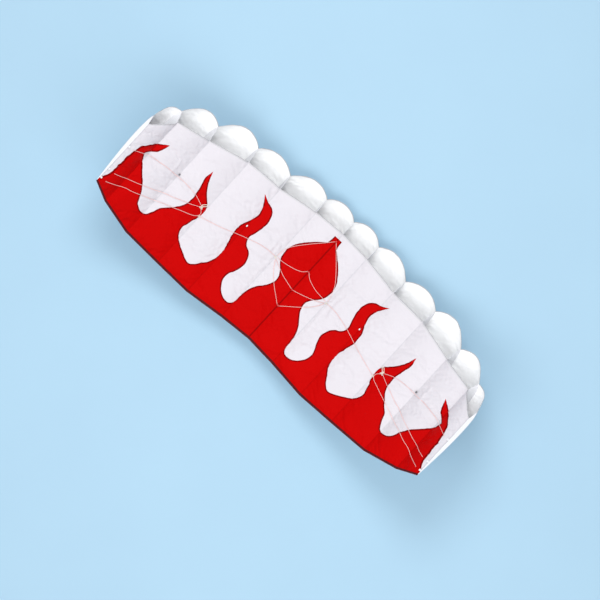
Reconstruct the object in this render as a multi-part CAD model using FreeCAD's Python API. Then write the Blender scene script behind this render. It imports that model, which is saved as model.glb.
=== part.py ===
"""Two-line ram-air parafoil kite of the two-metre class, lying on its back with its bridle uppermost.

The wing has no spars: twelve cells of ripstop cloth, open at the leading edge, hold their shape by the
air in them. X is the span, +Y the leading edge, +Z the underside of the wing, which faces up here.
All sizes are millimetres.
"""

import math
import os

import FreeCAD
import Part

V = FreeCAD.Vector

# ---- driving dimensions -------------------------------------------------------------------------
# Cells and ribs are counted from the centre rib outwards; the left half mirrors the right half.
CELL_WIDTHS = [143, 177, 175, 190, 174, 131]  # of the underside, along the cloth
CELL_SLOPES = [3, 8, 14, 22, 34, 55]  # degrees that each cell rises towards its tip
RIB_LEAN = [0, 5.5, 11, 18, 28, 44.5, 60]  # degrees of each rib from upright
LEADING_Y = [327, 321, 290, 283, 236, 180, 86]  # nose of the upper skin at each rib
LIP_Y = [260, 251, 222, 214, 168, 134, 46]  # front edge of the underside, below the air intake
TRAILING_Y = [-321, -331, -350, -345, -337, -300, -260]
THICKNESS = [86, 86, 84, 80, 72, 56, 18]  # deepest part of each rib
INTAKE_BULGE = [31, 38, 34, 47, 41, 20]  # that the nose of each cell stands ahead of its ribs

CLOTH = 0.8  # skins and ribs; real ripstop is 0.06 thick
RIB_HALF = 0.5 * CLOTH
HINGE_GAP = 0.4  # between a folding rib and the panels inboard of it
SEAM_GAP = 0.1  # between the two skins at the trailing edge
UPPER_SWELL = 12  # of the upper skin between two ribs
UNDER_SWELL = 8  # of the underside between two ribs
HEM_WIDTH = 7  # of the trailing-edge binding

# Share of the chord from the nose, and the depth there as a share of the rib's thickness.
CHORD_SHARES = [0, 0.03, 0.08, 0.16, 0.28, 0.44, 0.60, 0.76, 0.90, 1]
FLYING_DEPTHS = [0.39, 0.587, 0.774, 0.929, 1, 0.928, 0.747, 0.493, 0.223, 0]
RESTING_DEPTHS = [0.39, 0.60, 0.79, 0.92, 0.975, 0.998, 0.995, 0.83, 0.40, 0]  # flattened by the ground
RESTING_RIBS = 2  # the centre rib and the one beside it lie on the ground
UNDER_SHARES = [0, 0.15, 0.35, 0.6, 0.85, 1]  # of the underside, from its lip

VENT_SHARES = [0.30, 0.50]  # of the chord, where air passes from cell to cell
VENT_RADIUS = 15
VENT_DEPTH = 0.45  # of a vent's centre, as a share of the rib's thickness
LAST_VENTED_RIB = 4
TIP_RIB = 6
BODY_RIBS = {"center": (0, 1), "inner": (1, 3), "outer": (3, 6)}
HINGE_RIBS = (1, 3)

LINE_DIAMETER = 1.8
LINE_LIFT = 4.0  # centre of a bridle line above the cloth it lies on
ARC_SHARE = 0.45  # of the shorter run, that an arc takes at a route's point

# Bridle lines of the right half: x and y of each point of the line as it lies on the underside.
FAN_ROUTES = {
    "fan_front": [(5, 214), (35, 180), (70, 140), (95, 110.5), (116, 84), (131, 57), (138, 30), (140, 8)],
    "fan_second": [(5, 46), (16, 32), (32, 22), (56, 14), (84, 8), (112, 5), (135, 3)],
    "fan_third": [(5, -54), (34, -46.5), (66, -36.5), (94, -26), (118, -15), (136, -4)],
    "fan_rear": [(5, -142), (33, -120), (64, -95), (92, -69), (113, -45), (128, -23), (136, -9)],
}
LEAD_ROUTE = [
    (148, 0), (186, 1), (228, -6), (272, -19), (316, -35), (360, -50.5), (404, -65.5), (446, -79), (483, -90),
]
TIP_ROUTES = {
    "tip_rear": [
        (509, -62), (498, -69), (492, -81), (497, -94), (511, -103), (532, -111),
        (562, -122), (598, -138), (640, -153), (680, -172), (720, -184), (756, -200),
        (790, -210), (819, -224), (843, -233), (863, -242),
    ],
    "tip_middle": [
        (515, -58), (545, -75), (580, -86), (620, -105), (660, -118), (700, -137), (740, -150),
        (776, -167), (809, -177), (836, -188), (860, -196),
    ],
    "tip_front": [
        (515, -46), (553, -36), (595, -28), (640, -27), (682, -31), (724, -31), (762, -37),
        (796, -43), (822, -54), (845, -63), (866, -74),
    ],
}

LOOP_DIAMETER = 2.6
LOOP_LENGTH = 26
LOOP_WIDTH = 8
LOOP_ROOT = (510, -53)  # x and y of the knot that the tow loop turns on
LOOP_HEADING = 137  # degrees from +X, in the cloth's plane, that the loop points


# ---- the wing's frame ---------------------------------------------------------------------------
def seam_line():
    """X and Z of the underside at each rib, from the centre to the tip."""
    points = [(0.0, 0.0)]
    for width, slope in zip(CELL_WIDTHS, CELL_SLOPES):
        x, z = points[-1]
        angle = math.radians(slope)
        points.append((x + width * math.cos(angle), z + width * math.sin(angle)))
    return points


SEAMS = seam_line()


def depths_at(rib):
    """Depth of a rib's upper skin at each chord share."""
    shape = RESTING_DEPTHS if rib < RESTING_RIBS else FLYING_DEPTHS
    return [THICKNESS[rib] * share for share in shape]


def rib_station(rib, along=0.0):
    """A cross-section of the wing at a rib, moved along the span by a small distance."""
    x, z = SEAMS[rib]
    lean = math.radians(RIB_LEAN[rib])
    return {
        "x": x + along * math.cos(lean),
        "z": z + along * math.sin(lean),
        "lean": lean,
        "nose": LEADING_Y[rib],
        "lip": LIP_Y[rib],
        "tail": TRAILING_Y[rib],
        "depths": depths_at(rib),
        "swell": 0.0,
    }


def middle_station(cell):
    """The swollen cross-section half-way between the two ribs of a cell."""
    inner = rib_station(cell)
    outer = rib_station(cell + 1)
    middle = {key: (inner[key] + outer[key]) / 2 for key in ("x", "z", "nose", "lip", "tail")}
    middle["lean"] = math.radians(CELL_SLOPES[cell])
    middle["nose"] += INTAKE_BULGE[cell]
    middle["depths"] = [(a + b) / 2 for a, b in zip(inner["depths"], outer["depths"])]
    middle["swell"] = 1.0
    return middle


def place(station, y, depth):
    """A point of a cross-section; depth runs from the underside towards the upper skin."""
    lean = station["lean"]
    return V(station["x"] + depth * math.sin(lean), y, station["z"] - depth * math.cos(lean))


def swell_at(share):
    """Swelling along the chord, which dies out at the trailing edge."""
    return 1 - share**2


def upper_points(station, offset):
    nose, tail = station["nose"], station["tail"]
    points = []
    for share, depth in zip(CHORD_SHARES, station["depths"]):
        full = depth + station["swell"] * UPPER_SWELL * swell_at(share)
        points.append(place(station, nose + (tail - nose) * share, full + offset))
    return points


def under_points(station, offset):
    lip, tail = station["lip"], station["tail"]
    points = []
    for share in UNDER_SHARES:
        rise = station["swell"] * UNDER_SWELL * swell_at(share)
        points.append(place(station, lip + (tail - lip) * share, -rise - offset))
    return points


# ---- cloth --------------------------------------------------------------------------------------
def spline(points):
    curve = Part.BSplineCurve()
    curve.interpolate(points)
    return curve.toShape()


def closed_section(near, far):
    """A wire round the cloth between two curves that start at the same end."""
    return Part.Wire([
        spline(near),
        Part.LineSegment(near[-1], far[-1]).toShape(),
        spline(list(reversed(far))),
        Part.LineSegment(far[0], near[0]).toShape(),
    ])


def cell_stations(cell):
    """Sections of a cell from just outside its inner rib to just inside its outer one."""
    end_gap = RIB_HALF + (HINGE_GAP if cell + 1 in HINGE_RIBS else 0)
    return [
        rib_station(cell, RIB_HALF),
        middle_station(cell),
        rib_station(cell + 1, -end_gap),
    ]


def upper_panel(cell):
    wires = [
        closed_section(upper_points(s, SEAM_GAP), upper_points(s, SEAM_GAP + CLOTH))
        for s in cell_stations(cell)
    ]
    return Part.makeLoft(wires, True, False)


def under_panel(cell):
    wires = [
        closed_section(under_points(s, 0), under_points(s, CLOTH))
        for s in cell_stations(cell)
    ]
    return Part.makeLoft(wires, True, False)


def rib_outline(rib, along):
    station = rib_station(rib, along)
    upper = upper_points(station, SEAM_GAP + CLOTH)
    lip = place(station, station["lip"], -CLOTH)
    tail = place(station, station["tail"], -CLOTH)
    return Part.Wire([
        Part.LineSegment(lip, tail).toShape(),
        Part.LineSegment(tail, upper[-1]).toShape(),
        spline(list(reversed(upper))),
        Part.LineSegment(upper[0], lip).toShape(),
    ])


def span_direction(rib):
    lean = math.radians(RIB_LEAN[rib])
    return V(math.cos(lean), 0, math.sin(lean))


def vent(rib, share):
    """A round hole through a rib, half-way between the skins."""
    station = rib_station(rib, -2 * RIB_HALF)
    y = station["nose"] + (station["tail"] - station["nose"]) * share
    centre = place(station, y, THICKNESS[rib] * VENT_DEPTH)
    return Part.makeCylinder(VENT_RADIUS, 4 * RIB_HALF, centre, span_direction(rib))


def rib_plate(rib):
    plate = Part.Face(rib_outline(rib, -RIB_HALF)).extrude(span_direction(rib) * (2 * RIB_HALF))
    if rib <= LAST_VENTED_RIB:
        for share in VENT_SHARES:
            plate = plate.cut(vent(rib, share))
    return plate.Solids[0]


def hem_section(rib, along):
    station = rib_station(rib, along)
    tail = station["tail"]
    corners = [
        place(station, tail - SEAM_GAP, -CLOTH),
        place(station, tail - HEM_WIDTH, -CLOTH),
        place(station, tail - HEM_WIDTH, CLOTH + SEAM_GAP),
        place(station, tail - SEAM_GAP, CLOTH + SEAM_GAP),
    ]
    return Part.makePolygon(corners + corners[:1])


def hem(first_rib, last_rib):
    """The folded binding behind the trailing edge, from one rib to another."""
    starts = 0 if first_rib == 0 else -RIB_HALF
    ends = RIB_HALF if last_rib == TIP_RIB else -(RIB_HALF + HINGE_GAP)
    solid = None
    for rib in range(first_rib, last_rib):
        inner = hem_section(rib, starts if rib == first_rib else 0)
        outer = hem_section(rib + 1, ends if rib + 1 == last_rib else 0)
        piece = Part.makeLoft([inner, outer], True, True)
        solid = piece if solid is None else solid.fuse(piece)
    return solid.removeSplitter().Solids[0]


# ---- bridle -------------------------------------------------------------------------------------
def laid(point, lift):
    """A point at a distance above the cloth of the underside, in the right half."""
    x, y = point
    cell = next((c for c in range(TIP_RIB) if x <= SEAMS[c + 1][0]), TIP_RIB - 1)
    (x0, z0), (x1, z1) = SEAMS[cell], SEAMS[cell + 1]
    across = (x - x0) / (x1 - x0)
    lip = LIP_Y[cell] + (LIP_Y[cell + 1] - LIP_Y[cell]) * across
    tail = TRAILING_Y[cell] + (TRAILING_Y[cell + 1] - TRAILING_Y[cell]) * across
    share = min(max((lip - y) / (lip - tail), 0), 1)
    rise = 4 * across * (1 - across) * UNDER_SWELL * swell_at(share)
    slope = math.radians(CELL_SLOPES[cell])
    return V(x, y, z0 + (z1 - z0) * across + (rise + CLOTH + lift) / math.cos(slope))


def rounded_path(points):
    """Straight runs joined by tangent arcs; also the arcs' radii."""
    edges, radii = [], []
    at = points[0]
    for before, corner, after in zip(points, points[1:], points[2:]):
        incoming = corner - before
        outgoing = after - corner
        reach = ARC_SHARE * min(incoming.Length, outgoing.Length)
        turn = incoming.getAngle(outgoing)
        radius = reach / math.tan(turn / 2)
        start = corner - incoming.normalize() * reach
        end = corner + outgoing.normalize() * reach
        inward = (start + end) / 2 - corner
        to_arc = math.hypot(radius, reach) - radius
        middle = corner + inward.normalize() * to_arc
        edges.append(Part.LineSegment(at, start).toShape())
        edges.append(Part.Arc(start, middle, end).toShape())
        radii.append(radius)
        at = end
    edges.append(Part.LineSegment(at, points[-1]).toShape())
    return Part.Wire(edges), radii


def tube(path, diameter, start, direction):
    ring = Part.Wire([Part.Circle(start, direction, diameter / 2).toShape()])
    return path.makePipeShell([ring], True, True)


def bridle_line(name, route):
    points = [laid(point, LINE_LIFT) for point in route]
    path, radii = rounded_path(points)
    solid = tube(path, LINE_DIAMETER, points[0], points[1] - points[0])
    section = math.pi * LINE_DIAMETER**2 / 4
    print(f"{name}: {path.Length:.0f} mm long, radii {min(radii):.0f} to {max(radii):.0f} mm,"
          f" volume {solid.Volume / (section * path.Length):.3f} of section times length")
    return solid


def tow_loop():
    """A long loop of line, lying on the underside; its root end is on its hinge."""
    straight = LOOP_LENGTH - LOOP_WIDTH
    half = LOOP_WIDTH / 2
    corners = [V(half, -half, 0), V(half + straight, -half, 0), V(half + straight, half, 0), V(half, half, 0)]
    path = Part.Wire([
        Part.LineSegment(corners[0], corners[1]).toShape(),
        Part.Arc(corners[1], V(2 * half + straight, 0, 0), corners[2]).toShape(),
        Part.LineSegment(corners[2], corners[3]).toShape(),
        Part.Arc(corners[3], V(0, 0, 0), corners[0]).toShape(),
    ])
    solid = tube(path, LOOP_DIAMETER, corners[0], V(1, 0, 0))
    solid.rotate(V(0, 0, 0), V(0, 0, 1), LOOP_HEADING)
    solid.rotate(V(0, 0, 0), V(0, 1, 0), -CELL_SLOPES[BODY_RIBS["outer"][0]])
    solid.translate(laid(LOOP_ROOT, LINE_LIFT))
    return solid


# ---- assembly -----------------------------------------------------------------------------------
def right_half():
    """Every sub-part of the right half, by its name without the side."""
    parts = {}
    for cell in range(TIP_RIB):
        parts[f"upper_panel_{cell + 1}"] = upper_panel(cell)
        parts[f"under_panel_{cell + 1}"] = under_panel(cell)
    for rib in range(1, TIP_RIB + 1):
        parts[f"rib_{rib}"] = rib_plate(rib)
    for body in ("inner", "outer"):
        parts[f"trailing_hem_{body}"] = hem(*BODY_RIBS[body])
    for name, route in {**FAN_ROUTES, "lead": LEAD_ROUTE, **TIP_ROUTES}.items():
        parts[f"line_{name}"] = bridle_line(name, route)
    parts["tow_loop"] = tow_loop()
    return parts


def mirrored(solid):
    return solid.mirror(V(0, 0, 0), V(1, 0, 0))


def whole_kite():
    kite = {"center_rib": rib_plate(0)}
    half_hem = hem(*BODY_RIBS["center"])
    kite["trailing_hem_center"] = half_hem.fuse(mirrored(half_hem)).removeSplitter().Solids[0]
    for name, solid in right_half().items():
        kite[f"right_{name}"] = solid
        kite[f"left_{name}"] = mirrored(solid)
    return kite


def resting_origin(kite):
    """The middle of the underneath of the wing's box, leaving out the bridle."""
    box = FreeCAD.BoundBox()
    for name, solid in kite.items():
        if "line" not in name:
            box.add(solid.optimalBoundingBox(False))
    return V((box.XMin + box.XMax) / 2, (box.YMin + box.YMax) / 2, box.ZMin)


def main():
    os.makedirs("parts", exist_ok=True)
    kite = whole_kite()
    origin = resting_origin(kite)
    print(f"the centre seam is at y {-origin.y:.3f}, z {-origin.z:.3f} of the part's frame")
    for name, solid in kite.items():
        solid.translate(origin * -1)
        solid.exportStep(f"parts/{name}.step")


main()
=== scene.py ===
"""Looks of the two-line parafoil kite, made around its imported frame.

Sizes are metres. The kite lies on its back: X is the span, +Y the leading edge, +Z the underside.
Shapes are worked out for the right half from the CAD ribs; the left half mirrors them.
"""

import math

import bmesh
import bpy
import numpy as np
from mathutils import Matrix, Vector, geometry, noise


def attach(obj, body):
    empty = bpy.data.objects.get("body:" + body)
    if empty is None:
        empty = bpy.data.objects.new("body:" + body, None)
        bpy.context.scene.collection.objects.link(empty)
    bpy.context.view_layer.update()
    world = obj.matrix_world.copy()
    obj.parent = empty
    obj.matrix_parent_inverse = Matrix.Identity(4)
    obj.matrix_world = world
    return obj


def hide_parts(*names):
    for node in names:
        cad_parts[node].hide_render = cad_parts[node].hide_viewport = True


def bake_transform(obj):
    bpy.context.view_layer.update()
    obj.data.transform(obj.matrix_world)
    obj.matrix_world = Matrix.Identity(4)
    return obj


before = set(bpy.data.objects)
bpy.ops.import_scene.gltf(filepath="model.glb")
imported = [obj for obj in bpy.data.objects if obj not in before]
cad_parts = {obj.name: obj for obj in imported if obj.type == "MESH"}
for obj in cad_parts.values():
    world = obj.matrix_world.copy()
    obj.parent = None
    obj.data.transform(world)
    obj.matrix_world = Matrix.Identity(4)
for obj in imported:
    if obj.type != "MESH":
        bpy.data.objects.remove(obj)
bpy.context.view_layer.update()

MM = 0.001
TINY = 1e-9  # least length to divide by
TINY_AREA = 1e-12
SIDES = {"right": 1, "left": -1}
SKINS = ("under", "upper")

# ---- driving sizes ----
CELLS = 6
BODY_OF_CELL = ("center", "inner", "inner", "outer", "outer", "outer")
BODY_OF_RIB = ("center", "inner", "inner", "outer", "outer", "outer", "outer")
FOLDING_RIBS = (1, 3)

COLUMNS = 18  # of the cloth's grid across a cell
UNDER_ROWS = 56
UPPER_ROWS = 64
FINE = 2  # times as many rows and columns in the finished upper skin

UNDER_SWELL = 8 * MM
UPPER_SWELL = 12 * MM
INTAKE_BULGE = [31 * MM, 38 * MM, 34 * MM, 47 * MM, 41 * MM, 20 * MM]

PUCKER_HEIGHT = 2.2 * MM  # of the gathers beside a seam
PUCKER_FADE = 9
PUCKER_START = 30
PUCKER_SCALE = (14, 62)  # per metre, across and along the seam

# Soft folds of the underside by cell: distance outboard of the inner rib, and Y of the fold's two ends.
PLEATS = {
    1: [(14 * MM, 110 * MM, -190 * MM), (41 * MM, 105 * MM, -60 * MM)],
    4: [(42 * MM, 50 * MM, -60 * MM)],
}
PLEAT_WIDTH = 6 * MM
PLEAT_HEIGHT = 3 * MM
PLEAT_BOW = 3 * MM
GROUND_GAP = 1 * MM  # least height of the upper skin over the ground, under its seam bindings
FOLD_GAP = 4.5 * MM  # the same by the inner fold, which lowers the skin inboard of it
FOLD_GAP_SHARES = (0.3, 0.55)  # across the first cell, where the one grows into the other

SEAM_WIDTH = 7 * MM
HEM_WIDTH = 9 * MM
TAIL_HEM = 6.6 * MM
TAPE_LIFT = 0.8 * MM

LINE_DIAMETER = 1.8 * MM
LINE_LIFT = 3.2 * MM

# Where red meets white on the right half, seen from above: smooth strokes that meet at sharp points.
FLAME_STROKES = [
    [(0, 231), (20, 230)],
    [(20, 230), (21, 208), (26, 190)],
    [(26, 190), (48, 171), (77, 145), (103, 115), (121, 86), (130, 52), (125, 16), (113, -7), (92, -30),
     (80, -52), (78, -74), (86, -98), (103, -123), (124, -151), (137, -184), (142, -220), (144, -250),
     (158, -271), (186, -272), (214, -257),
     (239, -224), (242, -190), (226, -150), (218, -108), (235, -66), (266, -44), (279, -16), (270, 18),
     (261, 66), (267, 108), (288, 136), (320, 146), (354, 161)],
    [(354, 161), (332, 134), (317, 104), (313, 74), (325, 36), (341, -2), (341, -48), (327, -98),
     (320, -142), (330, -190), (357, -229), (376, -252), (400, -263), (444, -244), (488, -216),
     (510, -182), (502, -139), (488, -98), (484, -60), (497, -32), (532, 1), (558, 40), (574, 84)],
    [(574, 84), (581, 44), (571, 2), (562, -46), (570, -96), (602, -143), (628, -171), (642, -208),
     (660, -236), (690, -235), (714, -217), (729, -182), (748, -152), (782, -112), (812, -70), (821, -46),
     (788, -10), (770, 42)],
    [(770, 42), (804, 16), (838, -16), (857, -56), (864, -108), (866, -160), (871, -212), (890, -262)],
]

# Bridle lines of the right half as they lie on the underside, millimetres. The front tip line
# starts in the tow knot, 7 mm from the end of its tube and clear of the turning loop.
FAN_ROUTES = {
    "fan_front": [(5, 214), (35, 180), (70, 140), (95, 110.5), (116, 84), (131, 57), (138, 30), (140, 8)],
    "fan_second": [(5, 46), (16, 32), (32, 22), (56, 14), (84, 8), (112, 5), (135, 3)],
    "fan_third": [(5, -54), (34, -46.5), (66, -36.5), (94, -26), (118, -15), (136, -4)],
    "fan_rear": [(5, -142), (33, -120), (64, -95), (92, -69), (113, -45), (128, -23), (136, -9)],
}
LEAD_ROUTE = [
    (148, 0), (186, 1), (228, -6), (272, -19), (316, -35), (360, -50.5), (404, -65.5), (446, -79), (483, -90),
]
TIP_ROUTES = {
    "tip_rear": [
        (509, -62), (498, -69), (492, -81), (497, -94), (511, -103), (532, -111),
        (562, -122), (598, -138), (640, -153), (680, -172), (720, -184), (756, -200),
        (790, -210), (819, -224), (843, -233), (863, -242),
    ],
    "tip_middle": [
        (515, -58), (545, -75), (580, -86), (620, -105), (660, -118), (700, -137), (740, -150),
        (776, -167), (809, -177), (836, -188), (860, -196),
    ],
    "tip_front": [
        (518.5, -52), (553, -36), (595, -28), (640, -27), (682, -31), (724, -31), (762, -37),
        (796, -43), (822, -54), (845, -63), (866, -74),
    ],
}
FAN_TABS = (216, 46, -54, -142)  # along the centre rib
SPARE_TABS = {2: 14, 4: -19}  # ribs with a tab that no line of this bridle uses
TIP_TABS = (-242, -196, -75)
KNOTS = {  # place, body, size and thread
    "fan_knot": (142, -1, "inner", 2.0 * MM, 1.9 * MM),
    "lead_knot": (490, -91, "outer", 2.0 * MM, 1.9 * MM),
    "tow_knot": (511, -57, "outer", 3.2 * MM, 2.8 * MM),
}

CAMERA_TURN = math.radians(42.58)
CAMERA_AIM = (52.8 * MM, -62.6 * MM)
CAMERA_HEIGHT = 15.0
FRAME_WIDTH = 2.474
KITE_MIDDLE_HEIGHT = 0.2


# ---- the ribs, measured on the frame ----
def upper_hull(points):
    """The upper convex outline of (y, depth) points, from the smallest y to the largest."""
    hull = []
    for p in sorted(map(tuple, points)):
        while len(hull) > 1 and cross(hull[-2], hull[-1], p) >= 0:
            hull.pop()
        hull.append(p)
    return np.array(hull)


def cross(a, b, c):
    """Twice the area of the triangle a, b, c: positive if it turns to the left."""
    return (b[0] - a[0]) * (c[1] - a[1]) - (b[1] - a[1]) * (c[0] - a[0])


class Rib:
    """The plane, edges and profile of a CAD rib. Depth runs from the underside to the upper skin."""

    def __init__(self, node):
        points = np.array([v.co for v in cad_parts[node].data.vertices], float)
        centre = points.mean(axis=0)
        thin = np.linalg.svd(points - centre, full_matrices=False)[2][2]
        self.across = thin * math.copysign(1, thin[0])
        self.inward = np.array([self.across[2], 0, -self.across[0]])
        depth = (points - centre) @ self.inward
        self.outline = upper_hull(np.column_stack([points[:, 1], depth - depth.min()]))
        self.seam = centre + self.inward * depth.min()
        self.seam[1] = 0
        self.nose = points[:, 1].max()
        self.tail = points[:, 1].min()
        self.lip = points[depth < depth.min() + 0.01 * MM, 1].max()

    def at(self, y, depth):
        """Points at arrays of y and depth."""
        y, depth = np.broadcast_arrays(y, depth)
        return self.seam + depth[..., None] * self.inward + y[..., None] * np.array([0, 1.0, 0])

    def under(self, v):
        return self.at(self.lip + (self.tail - self.lip) * v, 0 * v)

    def upper(self, v):
        y = self.nose + (self.tail - self.nose) * v
        return self.at(y, np.interp(y, self.outline[:, 0], self.outline[:, 1]))


RIBS = [Rib("center_rib")] + [Rib(f"right_rib_{i}") for i in range(1, CELLS + 1)]
MIRROR = np.array([-1.0, 1.0, 1.0])


def in_scene(name, data):
    """A new object of this data, in the scene."""
    item = bpy.data.objects.new(name, data)
    bpy.context.scene.collection.objects.link(item)
    return item


def to_side(points, side):
    """Points of the right half, moved to a side."""
    return points if side == "right" else points * MIRROR


def unit(vector):
    return vector / np.linalg.norm(vector)


def inward_of(cell):
    """The way into the wing at the middle of a cell of the right half."""
    return unit(RIBS[cell].inward + RIBS[cell + 1].inward)


def steps_of(line):
    """Lengths of the steps between a line's points."""
    return np.linalg.norm(np.diff(line, axis=0), axis=1)


# ---- cloth as grids of points ----
ROW_CROWDING = {"under": 1, "upper": 1.25}  # over 1, rows are closer together at the front edge
NOSE_ROUNDNESS = 0.9


def cell_grid(cell, skin):
    """The plain swollen shape of one cell's skin on the right half, rows from front to back."""
    rows = UNDER_ROWS if skin == "under" else UPPER_ROWS
    u = np.linspace(0, 1, COLUMNS + 1)[None, :]
    v = np.linspace(0, 1, rows + 1)[:, None] ** ROW_CROWDING[skin]
    inner, outer = RIBS[cell], RIBS[cell + 1]
    near, far = (getattr(rib, skin)(v[:, 0])[:, None, :] for rib in (inner, outer))
    points = near * (1 - u[..., None]) + far * u[..., None]
    inward = inward_of(cell)
    arch = 4 * u * (1 - u) * (1 - v**2)
    if skin == "under":
        return points - (arch * UNDER_SWELL)[..., None] * inward
    points = points + (arch * UPPER_SWELL)[..., None] * inward
    round_nose = (1 - (2 * u - 1) ** 2) ** NOSE_ROUNDNESS
    points[..., 1] += INTAKE_BULGE[cell] * round_nose * (1 - v)
    return points


def grid_faces(rows, columns, first=0, flip=False):
    """Quads of a grid of points, counted row by row from the first point's number."""
    corners = [first + r * (columns + 1) + c for r in range(rows) for c in range(columns)]
    quads = [(a, a + 1, a + columns + 2, a + columns + 1) for a in corners]
    return [quad[::-1] for quad in quads] if flip else quads


def faces_out(side, skin):
    """True where the grid's faces have to be turned over to look out of the wing."""
    return (side == "right") == (skin == "under")


SIM_FRAMES = 18
SIM_CAP = 9 * MM  # the furthest that the air moves any point
SHAKE = 0.4 * MM  # uneven start, so that the cloth isn't perfectly smooth
SHAKE_SEED = 7


AIR_AND_CLOTH = {
    "quality": 5,
    "mass": 0.05,
    "tension_stiffness": 40,
    "compression_stiffness": 40,
    "shear_stiffness": 12,
    "bending_stiffness": 0.02,
    "air_damping": 4,
    "vertex_group_mass": "held",
    "shrink_min": -0.018,
    "use_pressure": True,
    "uniform_pressure_force": 3.0,
}


def blow_up(modifier):
    """Thin limp cloth, slightly slack, with air pressing on it and no weight."""
    for setting, value in AIR_AND_CLOTH.items():
        setattr(modifier.settings, setting, value)
    modifier.settings.effector_weights.gravity = 0
    modifier.collision_settings.use_collision = False
    modifier.point_cache.frame_start = 1
    modifier.point_cache.frame_end = SIM_FRAMES


def inflate(grids):
    """Air presses each skin out between its ribs: one cloth simulation, then the grids are read back."""
    rng = np.random.default_rng(SHAKE_SEED)
    points, faces, held = [], [], []
    for (side, _, skin), grid in grids.items():
        rows, columns = grid.shape[0] - 1, grid.shape[1] - 1
        faces += grid_faces(rows, columns, len(points), faces_out(side, skin))
        fixed = np.zeros(grid.shape[:2], bool)
        fixed[:, [0, -1]] = True
        fixed[-1, :] = True
        shake = rng.normal(0, SHAKE, grid.shape) * ~fixed[..., None]
        points += list((grid + shake).reshape(-1, 3))
        held += list(fixed.reshape(-1))
    mesh = bpy.data.meshes.new("air_test")
    mesh.from_pydata([tuple(p) for p in points], [], faces)
    skins = in_scene("air_test", mesh)
    scene = bpy.context.scene
    group = skins.vertex_groups.new(name="held")
    group.add([i for i, h in enumerate(held) if h], 1.0, "REPLACE")
    blow_up(skins.modifiers.new("air", "CLOTH"))
    for step in range(1, SIM_FRAMES + 1):
        scene.frame_set(step)
    shape = skins.evaluated_get(bpy.context.evaluated_depsgraph_get()).data
    moved = np.zeros(len(points) * 3)
    shape.vertices.foreach_get("co", moved)
    moved = moved.reshape(-1, 3)
    bpy.data.objects.remove(skins)
    bpy.data.meshes.remove(mesh)
    scene.frame_set(1)
    return capped(grids, moved)


def capped(grids, moved):
    """The grids with each point moved as the air moved it, but no further than the cap."""
    first = 0
    for key, grid in grids.items():
        count = grid.shape[0] * grid.shape[1]
        shift = moved[first:first + count].reshape(grid.shape) - grid
        size = np.linalg.norm(shift, axis=-1, keepdims=True)
        grids[key] = grid + shift * np.minimum(1, SIM_CAP / np.maximum(size, TINY))
        first += count
    return grids


GRIDS = {
    (side, cell, skin): to_side(cell_grid(cell, skin), side)
    for side in SIDES for cell in range(CELLS) for skin in SKINS
}
GRIDS = inflate(GRIDS)


def catmull(grid, place, axis):
    """The grid's four steps round each place along an axis, and their Catmull-Rom weights."""
    last = grid.shape[axis] - 1
    i = np.clip(np.floor(place).astype(int), 0, last - 1)
    t = (place - i)[..., None]
    ends = [np.clip(i + k, 0, last) for k in (-1, 0, 1, 2)]
    weights = [
        (-t**3 + 2 * t**2 - t) / 2,
        (3 * t**3 - 5 * t**2 + 2) / 2,
        (-3 * t**3 + 4 * t**2 + t) / 2,
        (t**3 - t**2) / 2,
    ]
    return ends, weights


def smooth_grid(grid, v, u):
    """Points of a grid at shares v of its rows and u of its columns, smooth between its own points."""
    rows, row_weights = catmull(grid, v * (grid.shape[0] - 1), 0)
    columns, column_weights = catmull(grid, u * (grid.shape[1] - 1), 1)
    total = 0
    for r, rw in zip(rows, row_weights):
        for c, cw in zip(columns, column_weights):
            total = total + rw * cw * grid[r, c]
    return total


def pucker(points, u, seed):
    """Height of the small gathers that sewing leaves beside each seam."""
    near = np.exp(-np.minimum(u, 1 - u) * PUCKER_FADE)
    across, along = PUCKER_SCALE
    rise = np.array([
        noise.noise(Vector((p[0] * across + seed, p[1] * along, seed))) for p in points.reshape(-1, 3)
    ]).reshape(u.shape)
    return PUCKER_HEIGHT * rise * near * np.minimum(1, np.minimum(u, 1 - u) * PUCKER_START)


def pleats(cell, u, v):
    """Height of the soft folds along the chord, where a panel of the underside has slack."""
    width = cell_size(cell)[0]
    lip, tail = chord(cell, u)
    y = lip + (tail - lip) * v
    rise = 0 * y
    for place, first, last in PLEATS.get(cell, ()):
        share = np.clip((first - y) / (first - last), 0, 1)
        centre = place + PLEAT_BOW * np.sin(3 * math.pi * share)
        across = (u * width - centre) / PLEAT_WIDTH
        rise = rise + PLEAT_HEIGHT * np.sin(math.pi * share) * np.exp(-(across**2))
    return rise


def off_the_ground(points, cell, u):
    """The same points of a cell, pressed flat where they would go under the ground."""
    near, far = FOLD_GAP_SHARES
    share = np.clip((u - near) / (far - near), 0, 1) if cell == 0 else 0
    gap = GROUND_GAP + (FOLD_GAP - GROUND_GAP) * share**2 * (3 - 2 * share)
    height = points[..., 2] - gap
    points[..., 2] = gap + (height + np.sqrt(height**2 + GROUND_GAP**2)) / 2
    return points


def cloth_points(side, cell, skin, u, v):
    """Points of a skin at shares u across its cell and v back from its front edge."""
    u, v = np.broadcast_arrays(np.clip(u, 0, 1), np.clip(v, 0, 1))
    return smooth_grid(GRIDS[side, cell, skin], v, u)


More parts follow.
